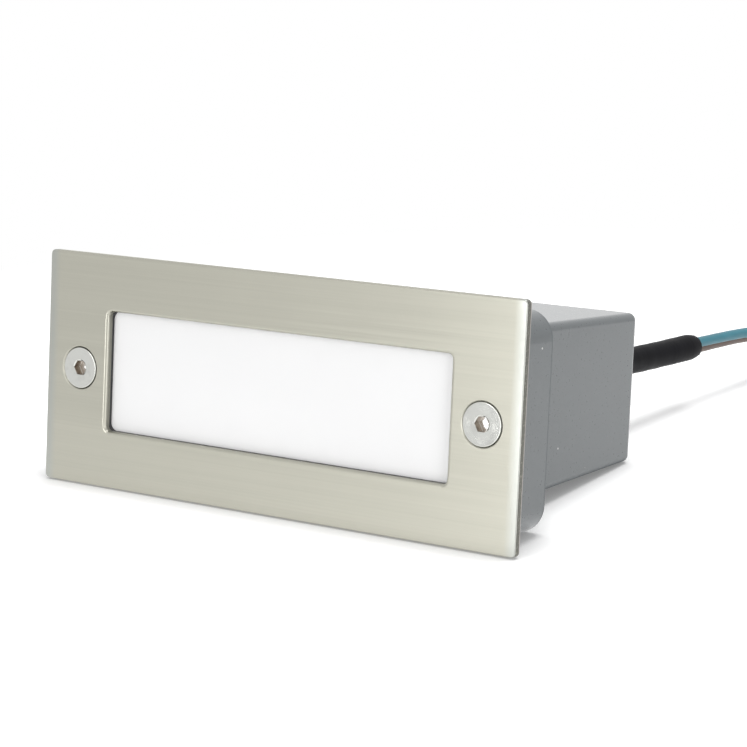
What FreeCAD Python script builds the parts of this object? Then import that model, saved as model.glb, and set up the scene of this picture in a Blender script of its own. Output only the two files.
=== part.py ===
"""Recessed step light: a brushed faceplate with an opal window, screwed to a cast housing.

Millimetres. The wall's face is the plane Y = 0, the light shines towards -Y, and +Z is up. The origin
is the centre of the rim where the light meets the wall.
"""
import FreeCAD, Part
import math
import os

Vector = FreeCAD.Vector
ALONG_Y = Vector(0, 1, 0)

# Faceplate
PLATE_WIDTH = 120.0
PLATE_HEIGHT = 50.0
PLATE_THICKNESS = 1.5
PLATE_CORNER = 1.0
PLATE_EDGE_ROUND = 0.25
WINDOW_SIDE_MARGIN = 16.5   # from the window to the plate's ends
WINDOW_EDGE_MARGIN = 12.1   # from the window to the plate's long edges
WINDOW_CORNER = 1.8
WINDOW_EDGE_ROUND = 0.4

# Gaskets
RIM_GASKET_THICKNESS = 0.5
RIM_GASKET_INSET = 0.3
RIM_GASKET_SQUEEZE = 0.1    # how much thinner it is where the collar clamps it
RIM_GASKET_FIT = 0.05       # round the collar
LENS_GASKET_THICKNESS = 1.1
LENS_GASKET_MARGIN = 0.1    # how far the gasket's opening stands back from the window

# Countersunk cover screws and their threaded inserts
SCREW_INSET = 9.0           # from the plate's ends
SCREW_HEAD_DIAMETER = 8.8
SCREW_HEAD_RIM = 0.15
SCREW_DIAMETER = 5.0
SCREW_LENGTH = 14.0
SCREW_TIP_CHAMFER = 0.6
HEX_ACROSS_FLATS = 3.0
HEX_DEPTH = 2.0
COUNTERSINK_GAP = 0.25      # radial, at the plate's front face
SCREW_CLEARANCE = 0.05
GASKET_SCREW_GAP = 0.4
INSERT_DIAMETER = 6.4
INSERT_LENGTH = 9.0
INSERT_RECESS = 1.5
INSERT_FIT = 0.02
SCREW_BORE_RUNOUT = 1.0

# Housing: a collar behind the plate and a drafted box behind the collar
RIM_OVERHANG = 3.0          # of the plate past the collar, at each end
RIM_OVERHANG_TOP = 3.4
RIM_OVERHANG_BOTTOM = 1.9
COLLAR_CORNER = 6.0
COLLAR_DEPTH = 14.6
COLLAR_REAR_ROUND = 1.5
EAR_WIDTH = 9.3             # of the collar past the box, at each side
TOP_STEP = 4.2              # from the collar's top down to the box's
BOTTOM_STEP = 4.5
BOX_REAR = 66.5
BOX_CORNER = 1.7
BOX_REAR_ROUND = 1.5
BOX_ROOT_ROUND = 0.8
SIDE_DRAFT = 0.5            # degrees
TOP_DRAFT = 0.4
BOTTOM_DRAFT = 3.5
WALL = 2.4
REAR_WALL = 2.5
CAVITY_CORNER = 2.5

# Lens and the white tray behind it
LENS_OVERLAP_X = 2.5        # how far the lens reaches past the window on each side
LENS_OVERLAP_Z = 3.9
LENS_CORNER = 3.6
LENS_THICKNESS = 1.8
LENS_CLEARANCE = 0.2
LENS_SPIGOT_DEPTH = 2.0
LENS_SPIGOT_WALL = 1.2
TRAY_CLEARANCE = 0.3
TRAY_FRONT_WALL = 1.0
TRAY_LENS_GAP = 0.2

# Light engine
CARRIER_FRONT = 15.0
CARRIER_THICKNESS = 1.5
CARRIER_CLEARANCE = 0.3
PAD_THICKNESS = 0.3
PAD_INSET = 0.5
LED_BOARD_INSET = 3.5       # from the window's ends
LED_BOARD_HEIGHT = 16.0
LED_BOARD_THICKNESS = 1.0
LED_BOARD_CORNER = 1.0
LED_BOARD_GAP = 0.6
LED_COLUMNS = 10
LED_PITCH = 6.6
LED_ROW_SPREAD = 8.0
LED_WIDTH = 3.5
LED_HEIGHT = 2.8
LED_THICKNESS = 0.7
SMALL_SCREW_DIAMETER = 2.4
SMALL_SCREW_HEAD = 4.4
SMALL_SCREW_HEAD_HEIGHT = 1.4
SMALL_SCREW_GAP = 0.15
SMALL_SCREW_REACH = 6.0     # how far a carrier screw goes into its rib
LED_SCREW_INSET = 3.0       # from the LED board's ends
CARRIER_SCREW_INSET = 2.6   # from the housing's side walls
SCREW_POCKET_GAP = 0.3

# Side ribs, whose grooves hold the driver board
RIB_WIDTH = 5.1
RIB_ABOVE_BOARD = 10.2
RIB_BELOW_BOARD = 3.6
GROOVE_DEPTH = 2.0
BOARD_HEIGHT = 11.6         # of the board's top over the box's underside, at the collar
BOARD_THICKNESS = 1.6
BOARD_CLEARANCE = 0.1
BOARD_SIDE_CLEARANCE = 0.2
BOARD_END_CLEARANCE = 0.3
BOARD_LENGTH = 45.0

# Sizes that follow from those above
WINDOW_WIDTH = PLATE_WIDTH - 2 * WINDOW_SIDE_MARGIN
WINDOW_HEIGHT = PLATE_HEIGHT - 2 * WINDOW_EDGE_MARGIN
SCREW_SPREAD = PLATE_WIDTH - 2 * SCREW_INSET
COLLAR_WIDTH = PLATE_WIDTH - 2 * RIM_OVERHANG
COLLAR_TOP = PLATE_HEIGHT / 2 - RIM_OVERHANG_TOP
COLLAR_BOTTOM = RIM_OVERHANG_BOTTOM - PLATE_HEIGHT / 2
BOX_WIDTH = COLLAR_WIDTH - 2 * EAR_WIDTH
BOX_TOP = COLLAR_TOP - TOP_STEP
BOX_BOTTOM = COLLAR_BOTTOM + BOTTOM_STEP
LENS_WIDTH = WINDOW_WIDTH + 2 * LENS_OVERLAP_X
LENS_HEIGHT = WINDOW_HEIGHT + 2 * LENS_OVERLAP_Z
LED_BOARD_WIDTH = WINDOW_WIDTH - 2 * LED_BOARD_INSET
LED_SCREW_SPREAD = LED_BOARD_WIDTH - 2 * LED_SCREW_INSET
CARRIER_SCREW_SPREAD = BOX_WIDTH - 2 * (WALL + CARRIER_SCREW_INSET)
RIB_INNER_X = BOX_WIDTH / 2 - WALL - RIB_WIDTH
BOARD_TOP = BOX_BOTTOM + BOARD_HEIGHT
BOARD_HALF_WIDTH = RIB_INNER_X + GROOVE_DEPTH - BOARD_SIDE_CLEARANCE

# Driver components: centre on the board (X, Y) and size
TRANSFORMER_PLACE = (2.0, 34.0)
CORE_WIDTH = 20.0
CORE_DEPTH = 7.0
CORE_HEIGHT = 16.0
CORE_LEG = 3.0
WINDING_THICKNESS = 4.0
WINDING_CLEARANCE = 0.15
INPUT_CAPACITOR_PLACE = (20.0, 27.0)
INPUT_CAPACITOR_SIZE = (10.0, 17.0)     # diameter, height
OUTPUT_CAPACITOR_PLACE = (-17.0, 49.0)
OUTPUT_CAPACITOR_SIZE = (8.0, 13.0)
CHOKE_PLACE = (-17.0, 30.0)
CHOKE_SIZE = (9.0, 9.0)
BRIDGE_PLACE = (22.0, 40.0)
BRIDGE_SIZE = (8.5, 6.4, 3.2)
FILM_CAPACITOR_PLACE = (20.0, 53.0)
FILM_CAPACITOR_SIZE = (13.0, 5.0, 11.0)
CHIP_PLACE = (6.0, 52.0)
CHIP_SIZE = (5.0, 4.0, 1.6)
FUSE_PLACE = (RIB_INNER_X - 6.7, 28.0)
FUSE_SIZE = (3.6, 9.0)                  # diameter, length
FUSE_LEAD = 0.7
TERMINAL_SIZE = (9.0, 8.0, 10.0)
TERMINAL_SLOT = (2.6, 3.0, 1.2)
COMPONENT_ROUND = 0.5

# Light-engine wires, from the driver board to the back of the LED board
WIRE_DIAMETER = 1.4
WIRE_INSET = 6.2            # from the left rib to the first wire
WIRE_SPACING = 4.0
WIRE_START_Y = 26.0
WIRE_Z = 0.0
WIRE_SLOT = (8.0, 4.0)

# Supply cord: two leads in a sleeve that leaves through a grommet in the rear wall
LEAD_DIAMETER = 2.4
LEAD_CLEARANCE = 0.05
LEAD_OFFSET = Vector(0.9, 0, 0.95)
SLEEVE_DIAMETER = 6.0
SLEEVE_START = 61.0
SLEEVE_END = 114.0
CORD_INSET = 6.2            # from the right rib
CORD_X = RIB_INNER_X - CORD_INSET
CORD_Z = 3.6
TERMINAL_ENTRY_Z = 0.3
SHARED_ROUTE = [            # the middle line between the two leads, inside the sleeve
    Vector(CORD_X, 44.0, TERMINAL_ENTRY_Z),
    Vector(CORD_X, 50.0, TERMINAL_ENTRY_Z),
    Vector(CORD_X, 57.0, CORD_Z),
    Vector(CORD_X, 72.0, CORD_Z),
    Vector(CORD_X + 1.0, 95.0, 4.1),
    Vector(CORD_X + 3.6, 118.0, 6.0),
]
BLUE_TAIL = [
    Vector(41.6, 139.0, 8.5),
    Vector(44.8, 158.0, 7.0),
    Vector(47.6, 175.0, 2.0),
    Vector(49.6, 190.0, 3.7),
    Vector(50.8, 201.0, 5.3),
]
BROWN_TAIL = [
    Vector(39.4, 138.6, 7.0),
    Vector(40.6, 156.5, 4.9),
    Vector(41.2, 172.5, 1.5),
    Vector(41.0, 187.0, 3.2),
    Vector(40.2, 197.6, 4.8),
]
TINNED_DIAMETER = 1.2
TINNED_LENGTH = 8.0
GROMMET_CLEARANCE = 0.05
GROMMET_WALL = 1.5
GROMMET_FLANGE = 1.0
GROMMET_FLANGE_THICKNESS = 1.2
GROMMET_FIT = 0.02

# Planes that several pieces share
PLATE_BACK = -RIM_GASKET_THICKNESS
COLLAR_FRONT = -RIM_GASKET_SQUEEZE
PLATE_FRONT = PLATE_BACK - PLATE_THICKNESS
LENS_FRONT = PLATE_BACK + LENS_GASKET_THICKNESS
LENS_SEAT = LENS_FRONT + LENS_THICKNESS
SPIGOT_END = LENS_SEAT + LENS_SPIGOT_DEPTH
TRAY_FRONT = SPIGOT_END + TRAY_LENS_GAP
PAD_FRONT = CARRIER_FRONT - PAD_THICKNESS
LED_BOARD_FRONT = PAD_FRONT - LED_BOARD_THICKNESS
RIB_FRONT = CARRIER_FRONT + CARRIER_THICKNESS
CAVITY_REAR = BOX_REAR - REAR_WALL
BOARD_FRONT = RIB_FRONT + BOARD_END_CLEARANCE
WIRE_X = (WIRE_INSET - RIB_INNER_X, WIRE_INSET + WIRE_SPACING - RIB_INNER_X)


def rounded_outline(left, right, bottom, top, corner, y):
    """A closed rectangle with round corners, in the plane at y."""
    def point(x, z):
        return Vector(x, y, z)

    def arc(centre_x, centre_z, start_degrees):
        angles = [math.radians(start_degrees + step) for step in (0, 45, 90)]
        on_arc = [point(centre_x + corner * math.cos(a), centre_z + corner * math.sin(a)) for a in angles]
        return Part.Arc(*on_arc).toShape()

    arcs = [
        arc(right - corner, top - corner, 0),
        arc(left + corner, top - corner, 90),
        arc(left + corner, bottom + corner, 180),
        arc(right - corner, bottom + corner, 270),
    ]
    edges = []
    for index, piece in enumerate(arcs):
        following = arcs[(index + 1) % len(arcs)]
        edges.append(piece)
        edges.append(Part.makeLine(piece.Vertexes[-1].Point, following.Vertexes[0].Point))
    return Part.Wire(edges)


def centred_outline(width, height, corner, y):
    return rounded_outline(-width / 2, width / 2, -height / 2, height / 2, corner, y)


def slab(width, height, corner, front, back):
    """A flat plate with round corners, between two planes across Y."""
    return Part.Face(centred_outline(width, height, corner, front)).extrude(ALONG_Y * (back - front))


def frame(outer, inner, front, back):
    """A flat ring: each of outer and inner is (width, height, corner)."""
    return slab(*outer, front, back).cut(slab(*inner, front, back))


def rod(diameter, front, back, x=0.0, z=0.0):
    return Part.makeCylinder(diameter / 2, back - front, Vector(x, front, z), ALONG_Y)


def block(x, y, z):
    """A box from its three (low, high) pairs."""
    size = [high - low for low, high in (x, y, z)]
    return Part.makeBox(*size, Vector(x[0], y[0], z[0]))


def box_on_board(place, size):
    """A box that stands on the driver board, centred on place."""
    width, depth, height = size
    return block(
        (place[0] - width / 2, place[0] + width / 2),
        (place[1] - depth / 2, place[1] + depth / 2),
        (BOARD_TOP, BOARD_TOP + height),
    )


def turned(profile, centre):
    """A solid of revolution about a vertical line, from (radius, height) points."""
    points = [Vector(centre[0] + radius, centre[1], height) for radius, height in profile]
    face = Part.Face(Part.makePolygon(points + points[:1]))
    return face.revolve(Vector(centre[0], centre[1], 0), Vector(0, 0, 1), 360)


def round_edges(shape, radius, chosen):
    return shape.makeFillet(radius, [edge for edge in shape.Edges if chosen(edge.BoundBox)])


def lies_at(box, y):
    return abs(box.YMin - y) < 0.01 and abs(box.YMax - y) < 0.01


def both_sides(spread):
    return (-spread / 2, spread / 2)


def countersink_radius():
    return SCREW_HEAD_DIAMETER / 2 + COUNTERSINK_GAP


def faceplate():
    plate = slab(PLATE_WIDTH, PLATE_HEIGHT, PLATE_CORNER, PLATE_FRONT, PLATE_BACK)
    plate = round_edges(plate, PLATE_EDGE_ROUND, lambda box: lies_at(box, PLATE_FRONT))
    plate = plate.cut(slab(WINDOW_WIDTH, WINDOW_HEIGHT, WINDOW_CORNER, PLATE_FRONT, PLATE_BACK))

    def window_edge(box):
        return lies_at(box, PLATE_FRONT) and max(abs(box.XMin), abs(box.XMax)) < WINDOW_WIDTH / 2 + 0.1

    plate = round_edges(plate, WINDOW_EDGE_ROUND, window_edge)
    radius = countersink_radius()
    for x in both_sides(SCREW_SPREAD):
        start = Vector(x, PLATE_FRONT, 0)
        sink = Part.makeCone(radius, radius - PLATE_THICKNESS, PLATE_THICKNESS, start, ALONG_Y)
        plate = plate.cut(sink)
    return plate


def rim_gasket():
    """A foam frame that the collar clamps, and whose uncovered rim rests on the wall."""
    outer = (PLATE_WIDTH - 2 * RIM_GASKET_INSET, PLATE_HEIGHT - 2 * RIM_GASKET_INSET, PLATE_CORNER)
    gasket = frame(outer, lens_pocket_size(), PLATE_BACK, COLLAR_FRONT)
    uncovered = slab(*outer, COLLAR_FRONT, 0.0).cut(collar_slab(RIM_GASKET_FIT, COLLAR_FRONT, 0.0))
    gasket = gasket.fuse(uncovered).removeSplitter()
    hole = 2 * (countersink_radius() - PLATE_THICKNESS + GASKET_SCREW_GAP)
    for x in both_sides(SCREW_SPREAD):
        gasket = gasket.cut(rod(hole, PLATE_BACK, 0.0, x))
    return gasket


def cover_screw(x):
    head_radius = SCREW_HEAD_DIAMETER / 2
    radius = SCREW_DIAMETER / 2
    cone_end = SCREW_HEAD_RIM + head_radius - radius
    profile = [
        (0.0, 0.0),
        (head_radius, 0.0),
        (head_radius, SCREW_HEAD_RIM),
        (radius, cone_end),
        (radius, SCREW_LENGTH - SCREW_TIP_CHAMFER),
        (radius - SCREW_TIP_CHAMFER, SCREW_LENGTH),
        (0.0, SCREW_LENGTH),
    ]
    points = [Vector(x + r, PLATE_FRONT + depth, 0) for r, depth in profile]
    face = Part.Face(Part.makePolygon(points + points[:1]))
    screw = face.revolve(Vector(x, 0, 0), ALONG_Y, 360)
    corner = HEX_ACROSS_FLATS / math.sqrt(3)
    corners = []
    for turn in range(7):
        angle = math.radians(60 * turn)
        corners.append(Vector(x + corner * math.cos(angle), PLATE_FRONT, corner * math.sin(angle)))
    socket = Part.Face(Part.makePolygon(corners)).extrude(ALONG_Y * HEX_DEPTH)
    return screw.cut(socket)


def threaded_inserts():
    """Brass inserts, one in each ear of the collar."""
    inserts = []
    back = INSERT_RECESS + INSERT_LENGTH
    for x in both_sides(SCREW_SPREAD):
        insert = rod(INSERT_DIAMETER, INSERT_RECESS, back, x)
        bore = rod(SCREW_DIAMETER + 2 * SCREW_CLEARANCE, INSERT_RECESS, back, x)
        inserts.append(insert.cut(bore))
    return Part.makeCompound(inserts)


def lens_pocket_size():
    clearance = 2 * LENS_CLEARANCE
    return (LENS_WIDTH + clearance, LENS_HEIGHT + clearance, LENS_CORNER + LENS_CLEARANCE)


def drafted_outline(inset, corner, y):
    """The box's outline at y, drawn in by an inset and by the drafts behind the collar."""
    behind = max(0.0, y - COLLAR_DEPTH)
    side = BOX_WIDTH / 2 - inset - behind * math.tan(math.radians(SIDE_DRAFT))
    top = BOX_TOP - inset - behind * math.tan(math.radians(TOP_DRAFT))
    bottom = BOX_BOTTOM + inset + behind * math.tan(math.radians(BOTTOM_DRAFT))
    return rounded_outline(-side, side, bottom, top, corner, y)


def drafted_body(inset, corner, front, rear):
    """A straight stretch inside the collar, then the drafted box down to rear."""
    outlines = [drafted_outline(inset, corner, y) for y in (COLLAR_DEPTH, rear)]
    body = Part.makeLoft(outlines, True, True)
    if front < COLLAR_DEPTH:
        straight = Part.Face(drafted_outline(inset, corner, front)).extrude(ALONG_Y * (COLLAR_DEPTH - front))
        body = body.fuse(straight)
    return body


def cavity_size(clearance):
    """Width, height, corner and centre height of a piece that fills the cavity in the collar."""
    width = BOX_WIDTH - 2 * (WALL + clearance)
    height = BOX_TOP - BOX_BOTTOM - 2 * (WALL + clearance)
    return width, height, CAVITY_CORNER, (BOX_TOP + BOX_BOTTOM) / 2


def cavity_slab(clearance, front, back):
    width, height, corner, middle = cavity_size(clearance)
    piece = slab(width, height, corner, front, back)
    piece.translate(Vector(0, 0, middle))
    return piece


def collar_slab(margin, front, back):
    """The collar's outline, with a margin round it, between two planes across Y."""
    width = COLLAR_WIDTH + 2 * margin
    height = COLLAR_TOP - COLLAR_BOTTOM + 2 * margin
    piece = slab(width, height, COLLAR_CORNER + margin, front, back)
    piece.translate(Vector(0, 0, (COLLAR_TOP + COLLAR_BOTTOM) / 2))
    return piece


def housing_casting():
    collar = collar_slab(0.0, COLLAR_FRONT, COLLAR_DEPTH)
    collar = round_edges(collar, COLLAR_REAR_ROUND, lambda box: lies_at(box, COLLAR_DEPTH))
    box = drafted_body(0.0, BOX_CORNER, COLLAR_DEPTH, BOX_REAR)
    box = round_edges(box, BOX_REAR_ROUND, lambda bound: lies_at(bound, BOX_REAR))
    casting = collar.fuse(box)

    def root_edge(bound):
        return lies_at(bound, COLLAR_DEPTH) and bound.XMax < BOX_WIDTH / 2 + 0.1 and \
            bound.XMin > -BOX_WIDTH / 2 - 0.1 and bound.ZMax < BOX_TOP + 0.1 and bound.ZMin > BOX_BOTTOM - 0.1

    casting = round_edges(casting, BOX_ROOT_ROUND, root_edge)
    casting = casting.cut(drafted_body(WALL, CAVITY_CORNER, LENS_SEAT, CAVITY_REAR))
    casting = casting.cut(slab(*lens_pocket_size(), COLLAR_FRONT, LENS_SEAT))
    for side in (-1, 1):
        casting = casting.fuse(side_rib(side))
    bore_end = PLATE_FRONT + SCREW_LENGTH + SCREW_BORE_RUNOUT
    for x in both_sides(SCREW_SPREAD):
        insert_end = INSERT_RECESS + INSERT_LENGTH
        casting = casting.cut(rod(INSERT_DIAMETER + 2 * INSERT_FIT, COLLAR_FRONT, insert_end, x))
        casting = casting.cut(rod(SCREW_DIAMETER + 2 * SCREW_CLEARANCE, COLLAR_FRONT, bore_end, x))
    hole = SLEEVE_DIAMETER + 2 * (GROMMET_CLEARANCE + GROMMET_WALL + GROMMET_FIT)
    return casting.cut(rod(hole, CAVITY_REAR, BOX_REAR, CORD_X, CORD_Z))


def side_rib(side):
    """A rib on the cavity's side wall: it carries the LED carrier and its groove holds the board."""
    reach = BOX_WIDTH / 2 - WALL / 2
    x = sorted((side * RIB_INNER_X, side * reach))
    rear = CAVITY_REAR + REAR_WALL / 2
    rib = block(x, (RIB_FRONT, rear), (BOARD_TOP - RIB_BELOW_BOARD, BOARD_TOP + RIB_ABOVE_BOARD))
    groove_x = sorted((side * RIB_INNER_X, side * (RIB_INNER_X + GROOVE_DEPTH)))
    groove_z = (BOARD_TOP - BOARD_THICKNESS - BOARD_CLEARANCE, BOARD_TOP + BOARD_CLEARANCE)
    groove_y = (RIB_FRONT, BOARD_FRONT + BOARD_LENGTH + BOARD_END_CLEARANCE)
    rib = rib.cut(block(groove_x, groove_y, groove_z))
    screw_x = side * CARRIER_SCREW_SPREAD / 2
    hole_end = RIB_FRONT + SMALL_SCREW_REACH + SCREW_BORE_RUNOUT
    return rib.cut(rod(SMALL_SCREW_DIAMETER + 2 * SCREW_CLEARANCE, RIB_FRONT, hole_end, screw_x))


def opal_lens():
    """An opal slab with a spigot behind it that locates it in the housing."""
    lens = slab(LENS_WIDTH, LENS_HEIGHT, LENS_CORNER, LENS_FRONT, LENS_SEAT)
    spigot = cavity_slab(LENS_CLEARANCE, LENS_SEAT, SPIGOT_END)
    hollow = cavity_slab(LENS_CLEARANCE + LENS_SPIGOT_WALL, LENS_SEAT, SPIGOT_END)
    return lens.fuse(spigot.cut(hollow))


def lens_gasket():
    margin = 2 * LENS_GASKET_MARGIN
    opening = (WINDOW_WIDTH + margin, WINDOW_HEIGHT + margin, WINDOW_CORNER + LENS_GASKET_MARGIN)
    outer = (LENS_WIDTH, LENS_HEIGHT, LENS_CORNER)
    return frame(outer, opening, PLATE_BACK, LENS_FRONT)


def reflector_tray():
    """A white frame whose walls lean in towards the LED board."""
    tray = cavity_slab(TRAY_CLEARANCE, TRAY_FRONT, CARRIER_FRONT)
    width, height, corner, middle = cavity_size(TRAY_CLEARANCE + TRAY_FRONT_WALL)
    half = height / 2
    mouth = rounded_outline(-width / 2, width / 2, middle - half, middle + half, corner, TRAY_FRONT)
    gap = 2 * LED_BOARD_GAP
    throat = centred_outline(LED_BOARD_WIDTH + gap, LED_BOARD_HEIGHT + gap, corner, CARRIER_FRONT)
    tray = tray.cut(Part.makeLoft([mouth, throat], True, True))
    pocket_front = CARRIER_FRONT - SMALL_SCREW_HEAD_HEIGHT - SCREW_POCKET_GAP
    for x in both_sides(CARRIER_SCREW_SPREAD):
        tray = tray.cut(rod(SMALL_SCREW_HEAD + 2 * SCREW_POCKET_GAP, pocket_front, CARRIER_FRONT, x))
    return tray


def wire_slot(front, back):
    middle = sum(WIRE_X) / 2
    width, height = WIRE_SLOT
    return block(
        (middle - width / 2, middle + width / 2),
        (front, back),
        (WIRE_Z - height / 2, WIRE_Z + height / 2),
    )


def with_holes(piece, spread, front, back):
    for x in both_sides(spread):
        piece = piece.cut(rod(SMALL_SCREW_DIAMETER + 2 * SMALL_SCREW_GAP, front, back, x))
    return piece


def led_carrier():
    """The aluminium plate that spreads the LED board's heat into the housing."""
    back = CARRIER_FRONT + CARRIER_THICKNESS
    carrier = cavity_slab(CARRIER_CLEARANCE, CARRIER_FRONT, back)
    carrier = with_holes(carrier, LED_SCREW_SPREAD, CARRIER_FRONT, back)
    carrier = with_holes(carrier, CARRIER_SCREW_SPREAD, CARRIER_FRONT, back)
    return carrier.cut(wire_slot(CARRIER_FRONT, back))


def thermal_pad():
    inset = 2 * PAD_INSET
    pad = slab(LED_BOARD_WIDTH - inset, LED_BOARD_HEIGHT - inset, LED_BOARD_CORNER, PAD_FRONT, CARRIER_FRONT)
    pad = with_holes(pad, LED_SCREW_SPREAD, PAD_FRONT, CARRIER_FRONT)
    return pad.cut(wire_slot(PAD_FRONT, CARRIER_FRONT))


def led_board():
    board = slab(LED_BOARD_WIDTH, LED_BOARD_HEIGHT, LED_BOARD_CORNER, LED_BOARD_FRONT, PAD_FRONT)
    return with_holes(board, LED_SCREW_SPREAD, LED_BOARD_FRONT, PAD_FRONT)


def led_packages():
    packages = []
    first = -LED_PITCH * (LED_COLUMNS - 1) / 2
    for z in both_sides(LED_ROW_SPREAD):
        for column in range(LED_COLUMNS):
            x = first + column * LED_PITCH
            packages.append(block(
                (x - LED_WIDTH / 2, x + LED_WIDTH / 2),
                (LED_BOARD_FRONT - LED_THICKNESS, LED_BOARD_FRONT),
                (z - LED_HEIGHT / 2, z + LED_HEIGHT / 2),
            ))
    return Part.makeCompound(packages)


def small_screws(spread, seat, end):
    """Pan-head screws whose heads seat on the plane at seat."""
    screws = []
    for x in both_sides(spread):
        head = rod(SMALL_SCREW_HEAD, seat - SMALL_SCREW_HEAD_HEIGHT, seat, x)
        screws.append(head.fuse(rod(SMALL_SCREW_DIAMETER, seat, end, x)))
    return Part.makeCompound(screws)


def driver_board():
    return block(
        (-BOARD_HALF_WIDTH, BOARD_HALF_WIDTH),
        (BOARD_FRONT, BOARD_FRONT + BOARD_LENGTH),
        (BOARD_TOP - BOARD_THICKNESS, BOARD_TOP),
    )


def transformer_core():
    """An E-shaped ferrite pair: outer legs, a centre leg and two windows."""
    x, y = TRANSFORMER_PLACE
    core = box_on_board(TRANSFORMER_PLACE, (CORE_WIDTH, CORE_DEPTH, CORE_HEIGHT))
    depth = (y - CORE_DEPTH / 2, y + CORE_DEPTH / 2)
    height = (BOARD_TOP + CORE_LEG, BOARD_TOP + CORE_HEIGHT - CORE_LEG)
    for side in (-1, 1):
        width = sorted((x + side * CORE_LEG, x + side * (CORE_WIDTH / 2 - CORE_LEG)))
        core = core.cut(block(width, depth, height))
    return core


def transformer_winding():
    """The taped winding round the core's centre leg."""
    x, y = TRANSFORMER_PLACE
    inner_x = CORE_LEG + WINDING_CLEARANCE
    inner_y = CORE_DEPTH / 2 + WINDING_CLEARANCE
    outer_x = CORE_WIDTH / 2 - CORE_LEG - WINDING_CLEARANCE
    outer_y = inner_y + WINDING_THICKNESS
    low = BOARD_TOP + CORE_LEG + WINDING_CLEARANCE
    height = (low, BOARD_TOP + CORE_HEIGHT - CORE_LEG - WINDING_CLEARANCE)
    winding = block((x - outer_x, x + outer_x), (y - outer_y, y + outer_y), height)
    upright = [edge for edge in winding.Edges if edge.BoundBox.ZLength > 1]
    winding = winding.makeFillet(COMPONENT_ROUND * 2, upright)
    return winding.cut(block((x - inner_x, x + inner_x), (y - inner_y, y + inner_y), height))


def can_capacitor(place, size):
    """An electrolytic capacitor: a can with a rolled groove near its foot."""
    radius, height = size[0] / 2, size[1]
    groove = 0.12 * height
    bevel = COMPONENT_ROUND
    profile = [
        (0.0, BOARD_TOP),
        (radius - bevel, BOARD_TOP),
        (radius, BOARD_TOP + bevel),
        (radius, BOARD_TOP + groove),
        (radius - bevel, BOARD_TOP + groove + bevel),
        (radius, BOARD_TOP + groove + 2 * bevel),
        (radius, BOARD_TOP + height - bevel),
        (radius - bevel, BOARD_TOP + height),
        (0.0, BOARD_TOP + height),
    ]
    return turned(profile, place)


def output_choke():
    """A drum core: two flanges with the winding between them."""
    radius, height = CHOKE_SIZE[0] / 2, CHOKE_SIZE[1]
    flange = height / 5
    waist = radius - 2 * COMPONENT_ROUND
    profile = [
        (0.0, BOARD_TOP),
        (radius, BOARD_TOP),
        (radius, BOARD_TOP + flange),
        (waist, BOARD_TOP + flange),
        (waist, BOARD_TOP + height - flange),
        (radius, BOARD_TOP + height - flange),
        (radius, BOARD_TOP + height),
        (0.0, BOARD_TOP + height),
    ]
    return turned(profile, CHOKE_PLACE)


def rounded_component(place, size):
    body = box_on_board(place, size)
    top = [edge for edge in body.Edges if edge.BoundBox.ZMin > BOARD_TOP + 0.1]
    return body.makeFillet(COMPONENT_ROUND, top)


def fuse_resistor():
    """A fusible resistor on its two bent leads."""
    diameter, length = FUSE_SIZE
    x, y = FUSE_PLACE
    axis_z = BOARD_TOP + diameter
    body = Part.makeCylinder(diameter / 2, length, Vector(x, y - length / 2, axis_z), ALONG_Y)
    for side in (-1, 1):
        end = y + side * length / 2
        corner = end + side * FUSE_LEAD * 2
        low, high = sorted((end - side * 0.5, corner + side * FUSE_LEAD / 2))
        across = (x - FUSE_LEAD / 2, x + FUSE_LEAD / 2)
        body = body.fuse(block(across, (low, high), (axis_z - FUSE_LEAD / 2, axis_z + FUSE_LEAD / 2)))
        foot = sorted((corner - side * FUSE_LEAD / 2, corner + side * FUSE_LEAD / 2))
        body = body.fuse(block(across, foot, (BOARD_TOP, axis_z)))
    return body


def input_terminal():
    """A two-way terminal block with its screw slots on top."""
    width, depth, height = TERMINAL_SIZE
    place = (CORD_X, SHARED_ROUTE[0].y - depth / 2)
    terminal = rounded_component(place, TERMINAL_SIZE)
    slot_width, slot_length, slot_depth = TERMINAL_SLOT
    top = BOARD_TOP + height
    for side in (-1, 1):
        x = place[0] + side * width / 4
        terminal = terminal.cut(block(
            (x - slot_width / 2, x + slot_width / 2),
            (place[1] - slot_length / 2, place[1] + slot_length / 2),
            (top - slot_depth, top),
        ))
    return terminal


def cable_grommet():
    """A bush in the rear wall, with a flange on each side of it."""
    bore = SLEEVE_DIAMETER + 2 * GROMMET_CLEARANCE
    barrel = bore + 2 * GROMMET_WALL
    flange = barrel + 2 * GROMMET_FLANGE
    grommet = rod(barrel, CAVITY_REAR, BOX_REAR, CORD_X, CORD_Z)
    inside = CAVITY_REAR - GROMMET_FLANGE_THICKNESS
    outside = BOX_REAR + GROMMET_FLANGE_THICKNESS
    grommet = grommet.fuse(rod(flange, inside, CAVITY_REAR, CORD_X, CORD_Z))
    grommet = grommet.fuse(rod(flange, BOX_REAR, outside, CORD_X, CORD_Z))
    return grommet.cut(rod(bore, inside, outside, CORD_X, CORD_Z))


def route_path(points, name):
    """Straight runs joined by tangent arcs, each as large as its two runs allow."""
    edges = []
    start = points[0]
    radii = []
    for before, corner, after in zip(points, points[1:], points[2:]):
        back = before - corner
        ahead = after - corner
        reach = 0.45 * min(back.Length, ahead.Length)
        back.normalize()
        ahead.normalize()
        half_turn = (math.pi - back.getAngle(ahead)) / 2
        radius = reach / math.tan(half_turn)
        radii.append(round(radius, 1))
        first = corner + back * reach
        last = corner + ahead * reach
        inward = back + ahead
        inward.normalize()
        middle = corner + inward * (radius / math.cos(half_turn) - radius)
        edges.append(Part.makeLine(start, first))
        edges.append(Part.Arc(first, middle, last).toShape())
        start = last
    edges.append(Part.makeLine(start, points[-1]))
    if radii:
        print(name, "arc radii", radii)
    return Part.Wire(edges)


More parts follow.
